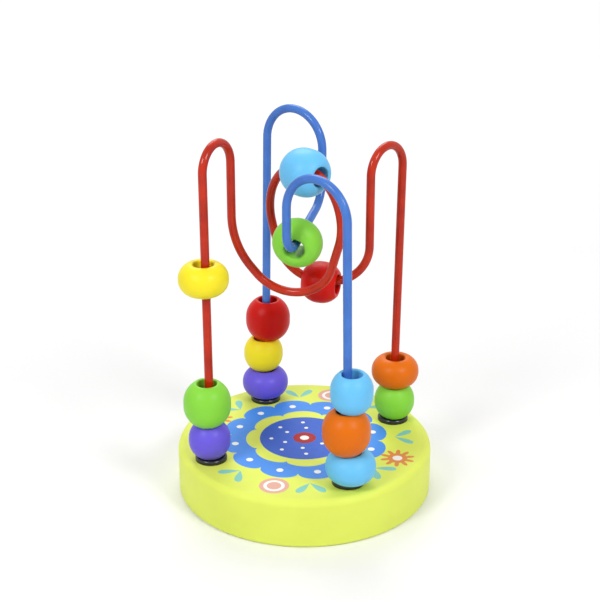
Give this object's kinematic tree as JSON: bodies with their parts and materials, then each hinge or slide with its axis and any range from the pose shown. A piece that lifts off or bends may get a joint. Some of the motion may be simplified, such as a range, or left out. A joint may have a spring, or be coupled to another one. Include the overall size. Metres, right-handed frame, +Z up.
{
  "type": "bead maze",
  "caption": "Small bead maze on a round painted base: two bent enamelled wires cross and loop, carrying painted wooden beads that slide along them.",
  "frame": {"origin": "centre of the base's flat underside, where the toy stands on a table", "axes": "+Z up along the wires' legs; +X from the left red foot to the right red foot; +Y to the back, away from the viewer of the picture"},
  "size_m": [0.11, 0.11, 0.1628],
  "materials": {
    "lime_paint": "satin paint with printed shapes on top",
    "black_plastic": "glossy moulded",
    "red_enamel": "gloss enamel",
    "blue_enamel": "gloss enamel",
    "purple_paint": "satin paint",
    "green_paint": "satin paint",
    "yellow_paint": "satin paint",
    "orange_paint": "satin paint",
    "red_paint": "satin paint",
    "sky_paint": "satin paint"
  },
  "bodies": {
    "frame": {"base": "lime_paint", "collar_left": "black_plastic", "collar_right": "black_plastic", "collar_back": "black_plastic", "collar_front": "black_plastic", "red_wire": "red_enamel", "blue_wire": "blue_enamel"},
    "left_small": {"left_small_bead": "purple_paint"},
    "left_oval": {"left_oval_bead": "green_paint"},
    "left_wide": {"left_wide_bead": "yellow_paint"},
    "right_small": {"right_small_bead": "green_paint"},
    "right_wide": {"right_wide_bead": "orange_paint"},
    "back_wide": {"back_wide_bead": "purple_paint"},
    "back_small": {"back_small_bead": "yellow_paint"},
    "back_oval": {"back_oval_bead": "red_paint"},
    "front_wide": {"front_wide_bead": "sky_paint"},
    "front_oval": {"front_oval_bead": "orange_paint"},
    "front_barrel": {"front_barrel_bead": "sky_paint"},
    "loop_oval": {"loop_oval_bead": "sky_paint"},
    "loop_small": {"loop_small_bead": "red_paint"},
    "dip_wide": {"dip_wide_bead": "green_paint"}
  },
  "joints": [
    {"name": "left_small_slide", "type": "slide", "parent": "frame", "child": "left_small", "axis": [-0.0044, 0, 1], "range_m": [0, 0.006]},
    {"name": "left_oval_slide", "type": "slide", "parent": "left_small", "child": "left_oval", "axis": [-0.0044, 0, 1], "range_m": [0, 0.008]},
    {"name": "left_wide_slide", "type": "slide", "parent": "left_oval", "child": "left_wide", "axis": [-0.0044, 0, 1], "range_m": [-0.0391, 0.022]},
    {"name": "right_small_slide", "type": "slide", "parent": "frame", "child": "right_small", "axis": [0.0116, 0, 0.9999], "range_m": [0, 0.026]},
    {"name": "right_wide_slide", "type": "slide", "parent": "right_small", "child": "right_wide", "axis": [0.0116, 0, 0.9999], "range_m": [0, 0.06]},
    {"name": "back_wide_slide", "type": "slide", "parent": "frame", "child": "back_wide", "axis": [0.0149, -0.0005, 0.9999], "range_m": [0, 0.012]},
    {"name": "back_small_slide", "type": "slide", "parent": "back_wide", "child": "back_small", "axis": [0.0149, -0.0005, 0.9999], "range_m": [0, 0.018]},
    {"name": "back_oval_slide", "type": "slide", "parent": "back_small", "child": "back_oval", "axis": [0.0149, -0.0005, 0.9999], "range_m": [0, 0.043]},
    {"name": "front_wide_slide", "type": "slide", "parent": "frame", "child": "front_wide", "axis": [-0.0163, 0.0005, 0.9999], "range_m": [0, 0.01]},
    {"name": "front_oval_slide", "type": "slide", "parent": "front_wide", "child": "front_oval", "axis": [-0.0163, 0.0005, 0.9999], "range_m": [0, 0.015]},
    {"name": "front_barrel_slide", "type": "slide", "parent": "front_oval", "child": "front_barrel", "axis": [-0.0163, 0.0005, 0.9999], "range_m": [0, 0.036]},
    {"name": "loop_oval_swing", "type": "hinge", "parent": "frame", "child": "loop_oval", "pos_m": [0, 0, 0.12338], "axis": [0.9511, 0.309, 0], "range_deg": [-60, 60]},
    {"name": "loop_small_swing", "type": "hinge", "parent": "frame", "child": "loop_small", "pos_m": [0.01242, 0.00545, 0.11395], "axis": [-0.5581, -0.8015, 0.2147], "range_deg": [-40, 0]},
    {"name": "dip_wide_slide", "type": "slide", "parent": "frame", "child": "dip_wide", "axis": [0.679, 0.679, 0.2791], "range_m": [0, 0.012]}
  ]
}
